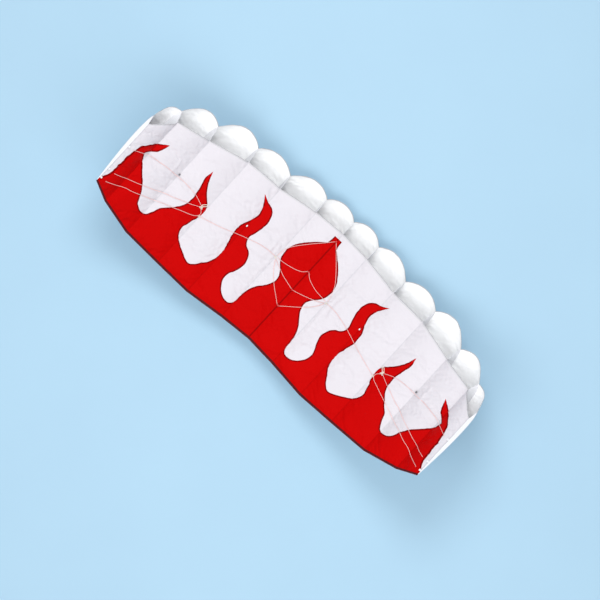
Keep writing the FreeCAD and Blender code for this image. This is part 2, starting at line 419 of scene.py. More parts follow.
def cloth(side, cell, skin, u, v, lift=0.0):
    """Points on a skin or lifted off it, out of the wing, with the seam gathers."""
    u, v = np.broadcast_arrays(np.asarray(u, float), np.asarray(v, float))
    step = 0.01
    flat = cloth_points(side, cell, skin, u, v)
    across = cloth_points(side, cell, skin, u + step, v) - cloth_points(side, cell, skin, u - step, v)
    along = cloth_points(side, cell, skin, u, v + step) - cloth_points(side, cell, skin, u, v - step)
    normal = np.cross(along, across) * SIDES[side] * (1 if skin == "under" else -1)
    normal /= np.maximum(np.linalg.norm(normal, axis=-1, keepdims=True), TINY_AREA)
    rise = pucker(flat, u, cell + 10 * SIDES[side])
    if skin == "under":
        rise = rise + pleats(cell, u, v)
    skin_points = off_the_ground(flat + normal * rise[..., None], cell, u)
    return skin_points + normal * np.broadcast_to(lift, u.shape)[..., None]


def chord(cell, u):
    """Y of the underside's front and back edges at shares u across a cell."""
    inner, outer = RIBS[cell], RIBS[cell + 1]
    lip = inner.lip * (1 - u) + outer.lip * u
    tail = inner.tail * (1 - u) + outer.tail * u
    return lip, tail


def shares_in(cell, places):
    """Shares (u, v) of places as if they all lay in one cell."""
    low, high = RIBS[cell].seam[0], RIBS[cell + 1].seam[0]
    u = (places[:, 0] - low) / (high - low)
    lip, tail = chord(cell, u)
    return u, (lip - places[:, 1]) / (lip - tail)


def cell_at(x):
    """The cell whose underside is at an x of the right half, seen from above."""
    return int(np.clip(np.searchsorted([rib.seam[0] for rib in RIBS], x) - 1, 0, CELLS - 1))


def underside_at(side, x, y, lift):
    """A point above the underside at a place (x, y) of the right half."""
    cell = cell_at(x)
    u, v = shares_in(cell, np.array([[x, y]]))
    return cloth(side, cell, "under", u[0], v[0], lift)


# ---- making and attaching meshes ----
def make_mesh(name, points, faces, materials, uvs=None, face_slots=None):
    mesh = bpy.data.meshes.new(name)
    mesh.from_pydata([tuple(map(float, p)) for p in points], [], faces)
    for material in materials:
        mesh.materials.append(material)
    if face_slots is not None:
        mesh.polygons.foreach_set("material_index", face_slots)
    if uvs is not None:
        layer = mesh.uv_layers.new(name="cloth")
        loops = np.zeros(len(mesh.loops), int)
        mesh.loops.foreach_get("vertex_index", loops)
        layer.data.foreach_set("uv", np.asarray(uvs, np.float32)[loops].reshape(-1))
    mesh.polygons.foreach_set("use_smooth", [True] * len(mesh.polygons))
    mesh.update()
    return in_scene(name, mesh)


def strip_mesh(name, rows, material, flip=False, uvs=None):
    """A piece from rows of points, all the same length."""
    rows = np.asarray(rows)
    faces = grid_faces(rows.shape[0] - 1, rows.shape[1] - 1, 0, flip)
    return make_mesh(name, rows.reshape(-1, 3), faces, [material], uvs)


def body_of(side, part):
    return part if part == "center" else f"{side}_{part}"


def attach_to_cell(piece, side, cell):
    """The piece moves with its cell's body; where the cell's outer rib folds, its place is baked in and it
    joins no body.
    """
    body = body_of(side, BODY_OF_CELL[cell])
    if cell + 1 not in FOLDING_RIBS:
        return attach(piece, body)
    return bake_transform(piece)


# ---- materials ----
class Nodes:
    """A short way to write a material's node tree."""

    def __init__(self, name, roughness, specular, sheen=0.0):
        self.material = bpy.data.materials.new(name)
        self.material.use_nodes = True
        self.tree = self.material.node_tree
        self.shader = self.tree.nodes["Principled BSDF"]
        values = {"Roughness": roughness, "Sheen Weight": sheen, "Specular IOR Level": specular}
        for socket, value in values.items():
            self.shader.inputs[socket].default_value = value
        self.places = self.new("ShaderNodeTexCoord").outputs

    def new(self, kind, **values):
        node = self.tree.nodes.new(kind)
        for key, value in values.items():
            setattr(node, key, value)
        return node

    def link(self, source, target):
        self.tree.links.new(source, target)

    def feed(self, value, target):
        """Sets a socket to a number or a colour, or links it to another socket."""
        if isinstance(value, bpy.types.NodeSocket):
            self.link(value, target)
        else:
            target.default_value = (*value, 1) if isinstance(value, tuple) else value

    def math(self, operation, a, b=0.0):
        node = self.new("ShaderNodeMath", operation=operation)
        for socket, value in zip(node.inputs, (a, b)):
            self.feed(value, socket)
        return node.outputs[0]

    def split(self, from_uv=True):
        """The parts of a point's UV, or of its place in its own object."""
        node = self.new("ShaderNodeSeparateXYZ")
        self.link(self.places["UV" if from_uv else "Object"], node.inputs[0])
        return node.outputs

    def times(self, a, b):
        return self.math("MULTIPLY", a, b)

    def wave(self, place, pitch):
        return self.math("SINE", self.times(place, math.tau / pitch))

    def noise(self, scale, detail=3.0):
        node = self.new("ShaderNodeTexNoise")
        node.inputs["Scale"].default_value = scale
        node.inputs["Detail"].default_value = detail
        self.link(self.places["Object"], node.inputs["Vector"])
        return node.outputs["Fac"]

    def mix(self, factor, dark, light):
        node = self.new("ShaderNodeMix", data_type="RGBA")
        self.link(factor, node.inputs["Factor"])
        for name, colour in (("A", dark), ("B", light)):
            socket = [s for s in node.inputs if s.name == name and s.type == "RGBA"][0]
            self.feed(colour, socket)
        return [s for s in node.outputs if s.type == "RGBA"][0]

    def colour(self, socket):
        self.link(socket, self.shader.inputs["Base Color"])

    def bump(self, height, strength, distance):
        node = self.new("ShaderNodeBump")
        node.inputs["Strength"].default_value = strength
        node.inputs["Distance"].default_value = distance
        self.link(height, node.inputs["Height"])
        self.link(node.outputs["Normal"], self.shader.inputs["Normal"])


RIPSTOP_PITCH = 5 * MM
THREAD_SHARE = 0.13  # of the ripstop pitch that a thick thread takes
THREAD_COVER = 0.55  # how far a thick thread takes on its own colour
WEAVE_PITCH = 0.45 * MM
PATCH_SCALE = 5.0
CREASE_SCALE = 30.0
FUZZ_SCALE = 90.0
STITCH_HALF = 0.09  # of the tape's width
STITCH_SHARE = 0.62  # of the stitches' pitch
TAPE_RIB = 0.8 * MM


def thread_lines(nodes, coordinate, pitch, share):
    """1 on the thick threads that lie a pitch apart, 0 between them."""
    place = nodes.math("FRACT", nodes.math("DIVIDE", coordinate, pitch))
    return nodes.math("LESS_THAN", place, share)


def ripstop(name, colour, shade, thread, from_uv=True, gloss=0.16):
    """Thin ripstop nylon: a grid of thick threads over a fine weave, faintly uneven in colour."""
    nodes = Nodes(name, roughness=0.58, sheen=gloss / 5, specular=gloss)
    parts = nodes.split(from_uv)
    across, along = parts[0:2] if from_uv else parts[1:3]
    grid = nodes.math(
        "MAXIMUM",
        thread_lines(nodes, across, RIPSTOP_PITCH, THREAD_SHARE),
        thread_lines(nodes, along, RIPSTOP_PITCH, THREAD_SHARE),
    )
    weave = nodes.times(nodes.wave(across, WEAVE_PITCH), nodes.wave(along, WEAVE_PITCH))
    ground = nodes.mix(nodes.noise(PATCH_SCALE), shade, colour)
    nodes.colour(nodes.mix(nodes.times(grid, THREAD_COVER), ground, thread))
    creases = nodes.noise(CREASE_SCALE, 5.0)
    height = nodes.math("ADD", nodes.times(grid, 0.25), nodes.times(weave, 0.06))
    nodes.bump(nodes.math("ADD", height, creases), 0.5, 0.9 * MM)
    return nodes.material


def stitched_tape(name, colour, shade, thread, pitch=3.2 * MM, gloss=0.14):
    """Folded binding with a row of stitches along it."""
    nodes = Nodes(name, roughness=0.65, sheen=gloss / 5, specular=gloss)
    across, along = nodes.split()[0:2]
    from_middle = nodes.math("ABSOLUTE", nodes.math("SUBTRACT", across, 0.5))
    row = nodes.math("LESS_THAN", from_middle, STITCH_HALF)
    stitch = nodes.times(row, thread_lines(nodes, along, pitch, STITCH_SHARE))
    ground = nodes.mix(nodes.noise(FUZZ_SCALE, 4.0), shade, colour)
    nodes.colour(nodes.mix(stitch, ground, thread))
    ribs = nodes.times(nodes.wave(along, TAPE_RIB), 0.15)
    nodes.bump(nodes.math("ADD", ribs, stitch), 0.5, 0.4 * MM)
    return nodes.material


def braid(name, colour, shade, pitch, from_uv=True):
    """Braided line: two crossing sets of slanting strands, with painted shade in the grooves between them."""
    nodes = Nodes(name, roughness=0.55, sheen=0.2, specular=0.3)
    across, along = nodes.split(from_uv)[0:2]
    turn = nodes.times(across, 2 * math.tau if from_uv else math.tau / pitch)
    run = nodes.times(along, math.tau / pitch)
    strands = nodes.times(
        nodes.math("SINE", nodes.math("ADD", run, turn)),
        nodes.math("SINE", nodes.math("SUBTRACT", run, turn)),
    )
    height = nodes.math("ADD", nodes.times(strands, 0.5), 0.5)
    # Painted shade: the colour goes to the shade colour where the strands are low, in the grooves.
    nodes.colour(nodes.mix(height, shade, colour))
    nodes.bump(height, 0.6, 0.3 * MM)
    return nodes.material


def plain_floor():
    nodes = Nodes("pale_floor", roughness=0.85, specular=0.15)
    nodes.colour(nodes.mix(nodes.noise(2.0), (0.34, 0.50, 0.62), (0.36, 0.53, 0.65)))
    return nodes.material


def reds(*levels):
    """Reds with almost no green or blue, one for each level."""
    return [(level, 0.001, 0.001) for level in levels]


WHITE = ripstop("under_white_ripstop", (0.63, 0.60, 0.63), (0.595, 0.565, 0.595), (0.56, 0.535, 0.565))
RED = ripstop("under_red_ripstop", *reds(0.49, 0.43, 0.37), gloss=0.02)
# Much darker red of the flames' raised doubled edges: painted shade of the fold along each edge.
EDGE_SHADE_RED = stitched_tape(
    "flame_edge_painted_shade", (0.20, 0.001, 0.001), (0.16, 0.001, 0.001), (0.26, 0.002, 0.002), gloss=0.01
)
# The same white ripstop as the underside, painted much brighter: painted light for the light inside the
# intakes.
UPPER_WHITE_PAINTED_LIGHT = ripstop("upper_white_painted_light", (0.95, 0.95, 0.95), (0.92, 0.92, 0.92), (0.86, 0.86, 0.87))
RIB_WHITE = ripstop("rib_ripstop", (0.78, 0.78, 0.80), (0.72, 0.72, 0.75), (0.66, 0.66, 0.69), from_uv=False)
SEAM_WHITE = stitched_tape("seam_binding", (0.58, 0.56, 0.59), (0.54, 0.52, 0.55), (0.46, 0.445, 0.47))
SEAM_RED = stitched_tape("seam_binding_red", *reds(0.43, 0.38, 0.33), gloss=0.02)
# Darker red of the centre binding: painted shade of the crease along the centre rib.
CENTRE_CREASE_SHADE_RED = stitched_tape("centre_binding_painted_shade", *reds(0.27, 0.23, 0.22), gloss=0.02)
# Grey of the intake hems, darker than the cloth they fold from: painted shade along the skins' front edges.
HEM_GREY_SHADE = stitched_tape("intake_hem", (0.55, 0.54, 0.555), (0.50, 0.49, 0.505), (0.36, 0.35, 0.365))
TAIL_TAPE = stitched_tape("trailing_tape", (0.075, 0.003, 0.005), (0.055, 0.002, 0.004), (0.16, 0.01, 0.01))
LINE_PALE = braid("bridle_braid", (0.90, 0.57, 0.53), (0.74, 0.43, 0.40), 2.4 * MM)
KNOT_COLOURS = ((0.86, 0.82, 0.72), (0.62, 0.57, 0.48))
KNOT_PALE = braid("knot_braid", *KNOT_COLOURS, 3.0 * MM)
LOOP_PALE = braid("tow_braid", *KNOT_COLOURS, 3.0 * MM, from_uv=False)
TAB_WHITE = stitched_tape("tab_webbing", (0.82, 0.82, 0.82), (0.72, 0.72, 0.73), (0.50, 0.50, 0.52), 2.0 * MM)
TAB_RED = stitched_tape("red_webbing", (0.66, 0.05, 0.05), (0.56, 0.04, 0.04), (0.40, 0.02, 0.02), 2.0 * MM)
TAB_DARK = stitched_tape("dark_webbing", (0.16, 0.16, 0.17), (0.12, 0.12, 0.13), (0.08, 0.08, 0.08), 2.0 * MM)
TAB_COLOURS = {2: TAB_WHITE, 4: TAB_DARK}  # of the spare tabs


# ---- the flames ----
def smooth_stroke(points, spacing=3.0):
    """A Catmull-Rom curve through a stroke's points, in even steps of about the spacing."""
    points = np.array(points, float)
    ends = np.vstack([2 * points[0] - points[1], points, 2 * points[-1] - points[-2]])
    curve = [points[0]]
    for p0, p1, p2, p3 in zip(ends, ends[1:], ends[2:], ends[3:]):
        count = max(2, int(np.linalg.norm(p2 - p1) / spacing))
        for t in np.arange(1, count + 1) / count:
            curve.append(0.5 * (2 * p1 + (p2 - p0) * t + (2 * p0 - 5 * p1 + 4 * p2 - p3) * t**2
                                + (3 * p1 - p0 - 3 * p2 + p3) * t**3))
    return np.array(curve)


DRAWN_NOSE = 327  # Y of the centre rib's nose, in the millimetres of the flames and lines
ROW_SHIFT = RIBS[0].nose / MM - DRAWN_NOSE
FLAMES = [(smooth_stroke(stroke) + (0, ROW_SHIFT)) * MM for stroke in FLAME_STROKES]
FLAME_LINE = np.vstack([FLAMES[0]] + [stroke[1:] for stroke in FLAMES[1:]])
PAST_TIP, PAST_TAIL = 1.2, -0.6  # metres, beyond the wing
RED_AREA = np.vstack([
    FLAME_LINE, [(PAST_TIP, FLAME_LINE[-1][1]), (PAST_TIP, PAST_TAIL), (0, PAST_TAIL)]
])


def in_red(places):
    """True for each place (x, y) of the right half that is in the red."""
    x, y = places[:, 0, None], places[:, 1, None]
    x0, y0 = RED_AREA.T
    x1, y1 = np.roll(RED_AREA, -1, axis=0).T
    crosses = (y0 > y) != (y1 > y)
    with np.errstate(divide="ignore", invalid="ignore"):
        reach = x0 + (y - y0) * (x1 - x0) / (y1 - y0)
    return (np.sum(crosses & (x < reach), axis=1) % 2) == 1


CUT_COLUMNS = 40
CUT_ROWS = 130
CUT_CLEAR = 2.5 * MM  # round the flames' line, with no grid points
CUT_REACH = 6 * MM  # beyond the cell, within which the flames' line still cuts it
CUT_MERGE = 1e-6
LEAST_AREA = 1e-10  # doubled, of a triangle that is kept


def cell_places(cell):
    """A grid of places (x, y) over a cell of the underside, rows from front to back."""
    inner, outer = RIBS[cell], RIBS[cell + 1]
    u = np.linspace(0, 1, CUT_COLUMNS + 1)
    v = np.linspace(0, 1, CUT_ROWS + 1)
    lip, tail = chord(cell, u)
    x = inner.seam[0] + (outer.seam[0] - inner.seam[0]) * u
    return np.stack([np.broadcast_to(x, (len(v), len(u))), lip + (tail - lip) * v[:, None]], axis=-1)


def cut_lines(cell):
    """Points of a cell of the underside and the edges to keep: round the cell and along the flames."""
    places = cell_places(cell)
    low, high = places[..., 0].min(), places[..., 0].max()
    line = FLAME_LINE
    near = (line[:, 0] > low - CUT_REACH) & (line[:, 0] < high + CUT_REACH)
    gaps = np.linalg.norm(places[:, :, None, :] - line[near][None, None], axis=-1).min(axis=-1)
    keep = gaps > CUT_CLEAR
    keep[[0, -1], :] = True
    keep[:, [0, -1]] = True
    index = -np.ones(keep.shape, int)
    index[keep] = np.arange(keep.sum())
    verts = list(places[keep])
    ring = [*index[0, :], *index[1:, -1], *index[-1, -2::-1], *index[-2:0:-1, 0]]
    edges = [(int(a), int(b)) for a, b in zip(ring, ring[1:] + ring[:1])]
    for i in range(len(line) - 1):
        if near[i] and near[i + 1]:
            verts += [line[i], line[i + 1]]
            edges.append((len(verts) - 2, len(verts) - 1))
    return verts, edges


def cut_cell(cell):
    """Points and triangles of a cell of the underside, cut along the flames, and which are red."""
    verts, edges = cut_lines(cell)
    cut = geometry.delaunay_2d_cdt([Vector(p) for p in verts], edges, [], 0, CUT_MERGE, False)
    points = np.array([tuple(p) for p in cut[0]])
    triangles = np.array([f for f in cut[2] if len(f) == 3])
    middles = points[triangles].mean(axis=1)
    u, v = shares_in(cell, middles)
    inside = (u > 0) & (u < 1) & (v > 0) & (v < 1)
    area = cross(*(points[triangles[:, k]].T for k in range(3)))
    inside &= np.abs(area) > LEAST_AREA
    triangles = triangles[inside]
    area = area[inside]
    triangles[area < 0] = triangles[area < 0][:, ::-1]
    used, renumbered = np.unique(triangles, return_inverse=True)
    return points[used], renumbered.reshape(-1, 3), in_red(middles[inside])


def cell_size(cell):
    """Width of a cell's cloth and its lengths at the two ribs, for the underside."""
    inner, outer = RIBS[cell], RIBS[cell + 1]
    width = float(np.linalg.norm(outer.seam - inner.seam))
    return width, inner.lip - inner.tail, outer.lip - outer.tail


PROFILE_POINTS = 60


def profile_length(rib):
    """Length of the upper skin along a rib."""
    points = rib.upper(np.linspace(0, 1, PROFILE_POINTS))
    return float(steps_of(points).sum())


def under_panel(side, cell, cut):
    """The underside's cloth of one cell, white and red, cut along the flames."""
    places, triangles, red = cut
    u, v = shares_in(cell, places)
    u, v = np.clip(u, 0, 1), np.clip(v, 0, 1)
    points = cloth(side, cell, "under", u, v)
    width, near, far = cell_size(cell)
    uvs = np.column_stack([u * width, v * (near + far) / 2])
    faces = triangles if side == "right" else triangles[:, ::-1]
    piece = make_mesh(
        f"{side}_under_cloth_{cell + 1}", points, faces.tolist(), [WHITE, RED], uvs, red.astype(int)
    )
    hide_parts(f"{side}_under_panel_{cell + 1}")
    attach_to_cell(piece, side, cell)
    return piece


def upper_panel(side, cell):
    """The upper skin's cloth of one cell."""
    u, v = np.meshgrid(
        np.linspace(0, 1, COLUMNS * FINE + 1), np.linspace(0, 1, UPPER_ROWS * FINE + 1)
    )
    points = cloth(side, cell, "upper", u, v)
    width, _, _ = cell_size(cell)
    near, far = profile_length(RIBS[cell]), profile_length(RIBS[cell + 1])
    uvs = np.stack([u * width, v * (near + far) / 2], axis=-1).reshape(-1, 2)
    piece = strip_mesh(
        f"{side}_upper_cloth_{cell + 1}", points, UPPER_WHITE_PAINTED_LIGHT, faces_out(side, "upper"), uvs
    )
    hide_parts(f"{side}_upper_panel_{cell + 1}")
    attach_to_cell(piece, side, cell)
    return piece


# ---- sewn edges ----
EDGE_WIDTH = 5.5 * MM
EDGE_SHAPE = np.array([0, 0.15, 0.5, 0.85, 1])  # across the flames' edge, from the white to the red
EDGE_LIFTS = np.array([0.05, 0.5, 0.6, 0.5, 0.05]) * MM
EDGE_STEPS = (0.25, 0.5, 0.75, 1.0)  # of the full width, each only where the one before fits
EDGE_STEP_GAP = 0.3
EDGE_ROOM = 2.2  # times the edge's width that has to be red
EDGE_EASE = 4  # points either way, over which the width changes
LEAST_EDGE = 0.2 * MM
SEAM_ROWS = {"under": 560, "upper": 260}
SEAM_COLUMNS = 9
SEAM_PLACES = (0, 0.18, 0.5, 0.82, 1)  # across the binding, where its height changes
SEAM_HEIGHTS = (0.15, 0.9, 1.1, 0.9, 0.15)
TIP_SEAM_SHARE = 0.8  # of the binding's width, all on the inner side of the last rib


def with_neighbours(values, reach, combine):
    """Each value combined, by np.min or np.mean, with those up to the reach before and after it."""
    padded = np.pad(values, reach, mode="edge")
    return combine([padded[k:k + len(values)] for k in range(2 * reach + 1)], axis=0)


def edge_widths(stroke, to_red):
    """Width of the doubled edge along a stroke, less where the red is too narrow for two of them."""
    width = np.zeros(len(stroke))
    for share in EDGE_STEPS:
        fits = in_red(stroke + to_red * EDGE_ROOM * share * EDGE_WIDTH)
        width = np.where(fits & (width > share - EDGE_STEP_GAP), share, width)
    lowest = with_neighbours(width, EDGE_EASE, np.min)
    return EDGE_WIDTH * with_neighbours(lowest, EDGE_EASE, np.mean)


def flame_edges(side, cell):
    """The doubled edge of each flame with its row of stitches, over one cell, in a darker red that is painted
    shade of the fold along the edge.
    """
    low, high = RIBS[cell].seam[0], RIBS[cell + 1].seam[0]
    points, faces, uvs = [], [], []
    columns = len(EDGE_SHAPE)
    for stroke in FLAMES:
        heading = np.gradient(stroke, axis=0)
        heading /= np.linalg.norm(heading, axis=1, keepdims=True)
        to_red = np.column_stack([heading[:, 1], -heading[:, 0]])
        along = np.concatenate([[0], np.cumsum(steps_of(stroke))])
        offsets = edge_widths(stroke, to_red)[:, None] * EDGE_SHAPE
        rows = stroke[:, None] + to_red[:, None] * offsets[..., None]
        inside = (rows[..., 0] > low) & (rows[..., 0] < high)
        rows[..., 0] = np.clip(rows[..., 0], low, high)
        u, v = shares_in(cell, rows.reshape(-1, 2))
        lifted = cloth(side, cell, "under", u, np.clip(v, 0, 1), np.tile(EDGE_LIFTS, len(stroke)))
        first = len(points)
        points += list(lifted)
        uvs += [(share, run) for run in along for share in EDGE_SHAPE]
        for i in range(len(stroke) - 1):
            for k in range(columns - 1):
                if not inside[i:i + 2, k:k + 2].any() or offsets[i:i + 2].max() < LEAST_EDGE:
                    continue
                a = first + i * columns + k
                quad = (a, a + columns, a + columns + 1, a + 1)
                faces.append(quad if side == "right" else quad[::-1])
    if not faces:
        return None
    used, renumbered = np.unique(faces, return_inverse=True)
    faces = renumbered.reshape(-1, 4).tolist()
    piece = make_mesh(
        f"{side}_flame_edge_{cell + 1}", [points[i] for i in used], faces, [EDGE_SHADE_RED], [uvs[i] for i in used]
    )
    merge_close(piece)
    return attach_to_cell(piece, side, cell)


def merge_close(piece):
    """Joins points that lie in the same place, so that the strip is one surface."""
    work = bmesh.new()
    work.from_mesh(piece.data)
    bmesh.ops.remove_doubles(work, verts=work.verts, dist=0.01 * MM)
    work.to_mesh(piece.data)
    work.free()


def grid_uvs(across, along):
    """UVs of a strip's points: places across it, the same in every row, and lengths along it."""
    return np.stack(np.broadcast_arrays(across, along[:, None]), axis=-1).reshape(-1, 2)


def beside_rib(side, rib, skin, offset, v, lift):
    """Points at a distance across a rib's seam; a positive offset is on its outer side."""
    if offset >= 0 and rib < CELLS:
        return cloth(side, rib, skin, offset / cell_size(rib)[0], v, lift)
    if rib > 0:
        return cloth(side, rib - 1, skin, 1 - abs(min(offset, 0)) / cell_size(rib - 1)[0], v, lift)
    other = "left" if side == "right" else "right"
    return cloth(other, 0, skin, abs(offset) / cell_size(0)[0], v, lift)


def seam_binding(side, rib, skin):
    """The stitched binding over the seam of a skin and a rib."""
    v = np.linspace(0.0, 1.0, SEAM_ROWS[skin])
    across = np.linspace(0.0, 1.0, SEAM_COLUMNS)
    offsets = (across - 0.5) * SEAM_WIDTH
    if rib == CELLS:
        offsets = TIP_SEAM_SHARE * (across - 1) * SEAM_WIDTH
    lifts = np.interp(across, SEAM_PLACES, SEAM_HEIGHTS) * TAPE_LIFT
    rows = np.stack([beside_rib(side, rib, skin, o, v, l) for o, l in zip(offsets, lifts)], axis=1)
    length = RIBS[rib].nose - RIBS[rib].tail
    uvs = grid_uvs(across, v * length)
    name = f"{side}_{skin}_seam_{rib}" if rib else f"center_{skin}_seam"
    piece = strip_mesh(name, rows, SEAM_WHITE, faces_out(side, skin), uvs)
    if skin == "under":
        # the centre binding takes the darker red that is painted shade of the crease
        piece.data.materials.append(SEAM_RED if rib else CENTRE_CREASE_SHADE_RED)
        where = np.array([(abs(p.center.x), p.center.y) for p in piece.data.polygons])
        piece.data.polygons.foreach_set("material_index", in_red(where).astype(int))
    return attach(piece, body_of(side, BODY_OF_RIB[rib]))


HEM_ACROSS = np.array([0, 0.3, 0.5, 0.5, 0.5, 0.7, 1])  # over the front edge and back inside
HEM_BACKS = np.array([1, 0.8, 0.1, 0, 0.1, 0.8, 1])
HEM_LIFTS = np.array([0.1, 0.7, 0.7, 0, -0.7, -0.7, -0.1])


def intake_hem(side, cell, skin):
    """The folded hem at the open front edge of a skin: over the edge and back inside."""
    u = np.linspace(0, 1, 2 * COLUMNS + 1)
    length = RIBS[cell].nose - RIBS[cell].tail
    backs, lifts = HEM_BACKS * HEM_WIDTH / length, HEM_LIFTS * TAPE_LIFT
    rows = np.stack([cloth(side, cell, skin, u, b, l) for b, l in zip(backs, lifts)], axis=1)
    uvs = grid_uvs(HEM_ACROSS, u * cell_size(cell)[0])
    piece = strip_mesh(f"{side}_{skin}_intake_hem_{cell + 1}", rows, HEM_GREY_SHADE, faces_out(side, skin), uvs)
    return attach_to_cell(piece, side, cell)


TAPE_ACROSS = np.array([0, 0.2, 0.45, 0.5, 0.55, 0.8, 1])  # from the underside to the upper skin
TAPE_HALF = 0.9 * MM  # thickness of the tape's folded part, either side of its middle
TAPE_FORE = {"under": 0.992, "upper": 0.995}  # share of the chord where the tape begins
TAPE_SHOULDER = 0.8  # of the tape's width, where its fold begins
RIPPLE = 0.5 * MM
RIPPLES_PER_CELL = 3


def trailing_tape(side, part, cells):
    """The dark tape folded round the trailing edge of one body's cells."""
    rows, run = [], []
    total = 0.0
    for cell in cells:
        u = np.linspace(0, 1, 2 * COLUMNS + 1)[1 if cell != cells[0] else 0:]
        edge = cloth(side, cell, "under", u, 1.0)
        fore, below = (cloth(side, cell, skin, u, v, TAPE_HALF) for skin, v in TAPE_FORE.items())
        back = np.array([0, -1.0, 0])
        up = to_side(-inward_of(cell), side)
        ripple = RIPPLE * np.sin(u * math.tau * RIPPLES_PER_CELL + cell)[:, None] * up
        rows += list(np.stack([
            fore,
            edge + up * 1.0 * MM,
            edge + back * TAPE_SHOULDER * TAIL_HEM + up * TAPE_HALF + ripple,
            edge + back * TAIL_HEM + ripple,
            edge + back * TAPE_SHOULDER * TAIL_HEM - up * TAPE_HALF + ripple,
            edge - up * 1.2 * MM,
            below,
        ], axis=1))
        run += list(total + u * cell_size(cell)[0])
        total += cell_size(cell)[0]
    uvs = grid_uvs(TAPE_ACROSS, np.array(run))
    piece = strip_mesh(f"{side}_trailing_tape_{part}", rows, TAIL_TAPE, side == "right", uvs)
    node = "trailing_hem_center" if part == "center" else f"{side}_trailing_hem_{part}"
    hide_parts(node)
    return attach_to_cell(piece, side, cells[-1])


# ---- lines, loops, tabs and knots ----
def spline_points(points):
    """Points along the smooth line whose control points these are."""
    data = bpy.data.curves.new("route", "CURVE")
    data.dimensions = "3D"
    data.resolution_u = 8
    spline = data.splines.new("NURBS")
    spline.points.add(len(points) - 1)
    for control, p in zip(spline.points, points):
        control.co = (*p, 1)
    spline.order_u = 3
    spline.use_endpoint_u = True
    route = bpy.data.objects.new("route", data)
    mesh = bpy.data.meshes.new_from_object(route)
    line = np.array([v.co for v in mesh.vertices], float)
    bpy.data.objects.remove(route)
    bpy.data.curves.remove(data)
    bpy.data.meshes.remove(mesh)
    return line


TUBE_SIDES = 8
NEARLY_UPRIGHT = 0.1
END_RADII = (0.02, 0.7)  # of the two rings that round off each end, over the tube's own


def tube_rings(line, diameter, closed=False):
    """Rings of points round a line, turned as little as possible from one to the next."""
    if closed:
        heading = np.roll(line, -1, axis=0) - np.roll(line, 1, axis=0)
    else:
        heading = np.gradient(line, axis=0)
    heading /= np.linalg.norm(heading, axis=1, keepdims=True)
    side = np.cross(heading[0], (0.0, 0.0, 1.0))
    if np.linalg.norm(side) < NEARLY_UPRIGHT:
        side = np.cross(heading[0], (0.0, 1.0, 0.0))
    rings = []
    for p, h in zip(line, heading):
        side = unit(side - h * (side @ h))
        other = np.cross(h, side)
        turn = np.arange(TUBE_SIDES + (0 if closed else 1)) * math.tau / TUBE_SIDES
        rings.append(p + diameter / 2 * (np.cos(turn)[:, None] * side + np.sin(turn)[:, None] * other))
    return np.array(rings)


def tube_piece(name, line, diameter, material):
    """An open tube along a line, with rounded ends, and UVs round and along it."""
    heading = np.diff(line, axis=0)
    first, last = unit(heading[0]), unit(heading[-1])
    rings = tube_rings(line, diameter)
    centre = rings.mean(axis=1, keepdims=True)
    start = [centre[0] + (rings[0] - centre[0]) * s - first * diameter / 2 * (1 - s) for s in END_RADII]
    end = [centre[-1] + (rings[-1] - centre[-1]) * s + last * diameter / 2 * (1 - s) for s in END_RADII[::-1]]
    rows = np.concatenate([start, rings, end])
    along = np.concatenate([[0, 0, 0], np.cumsum(steps_of(line))])
    along = np.concatenate([along, [along[-1]] * 2])
    uvs = grid_uvs(np.linspace(0, 1, rows.shape[1]), along)
    return strip_mesh(name, rows, material, False, uvs)


def row_y(y):
    """Y on the row, in metres, of a Y in the millimetres that the lines are drawn in."""
    return (y + ROW_SHIFT) * MM


def bridle_line(side, name, route, part, blended_cell=None):
    """One line of the bridle, whose control points are just above the cloth that it lies on."""
    line = spline_points([underside_at(side, x * MM, row_y(y), LINE_LIFT) for x, y in route])
    piece = tube_piece(f"{side}_bridle_{name}", line, LINE_DIAMETER, LINE_PALE)
    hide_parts(f"{side}_line_{name}")
    if blended_cell is None:
        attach(piece, body_of(side, part))
    else:
        attach_to_cell(piece, side, blended_cell)
    return piece


TAB_HEIGHT = 10 * MM
TAB_WIDTH = 8 * MM
TAB_THICKNESS = 0.9 * MM
TAB_FOOT = 0.3 * MM  # over the seam
TAB_POINTS = 25
TAB_CORNERS = ((1, 1), (1, -1), (-1, -1), (-1, 1), (1, 1))  # round the webbing's own section
TAB_HALF = 0.24  # width of its loop each way, over its height
TAB_FLARE = 0.3
DROP_PEAK = 1.3  # greatest value of cos(t) * (1 + sin(t))


def tab(name, side, rib, y, part, webbing):
    """A short loop of webbing sewn into a seam, for a bridle line."""
    foot = to_side(RIBS[rib].at(np.array(row_y(y)), np.array(-TAB_FOOT)), side)
    up = to_side(-RIBS[rib].inward, side)
    across = np.cross(up, (0.0, 1.0, 0.0))
    turn = np.linspace(-0.5, 1.5, TAB_POINTS) * math.pi
    half_width = TAB_HALF * TAB_HEIGHT * np.cos(turn) * (1 + np.sin(turn)) / DROP_PEAK
    height = TAB_HEIGHT * (1 + np.sin(turn)) / 2
    rows = []
    for h, w in zip(height, half_width):
        middle = foot + up * h + across * w
        out = up * (h / TAB_HEIGHT - 0.5) + across * (w / (TAB_FLARE * TAB_HEIGHT))
        out = out / max(np.linalg.norm(out), TINY) * TAB_THICKNESS / 2
        rows.append([middle + o * out + (0, y * TAB_WIDTH / 2, 0) for o, y in TAB_CORNERS])
    uvs = [(k / 4, i / len(rows) * 2 * TAB_HEIGHT) for i in range(len(rows)) for k in range(5)]
    piece = strip_mesh(name, rows, webbing, False, uvs)
    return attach(piece, body_of(side, part))


KNOT_POINTS = 64
TREFOIL_REACH = 1.6
TREFOIL_RISE = 0.8


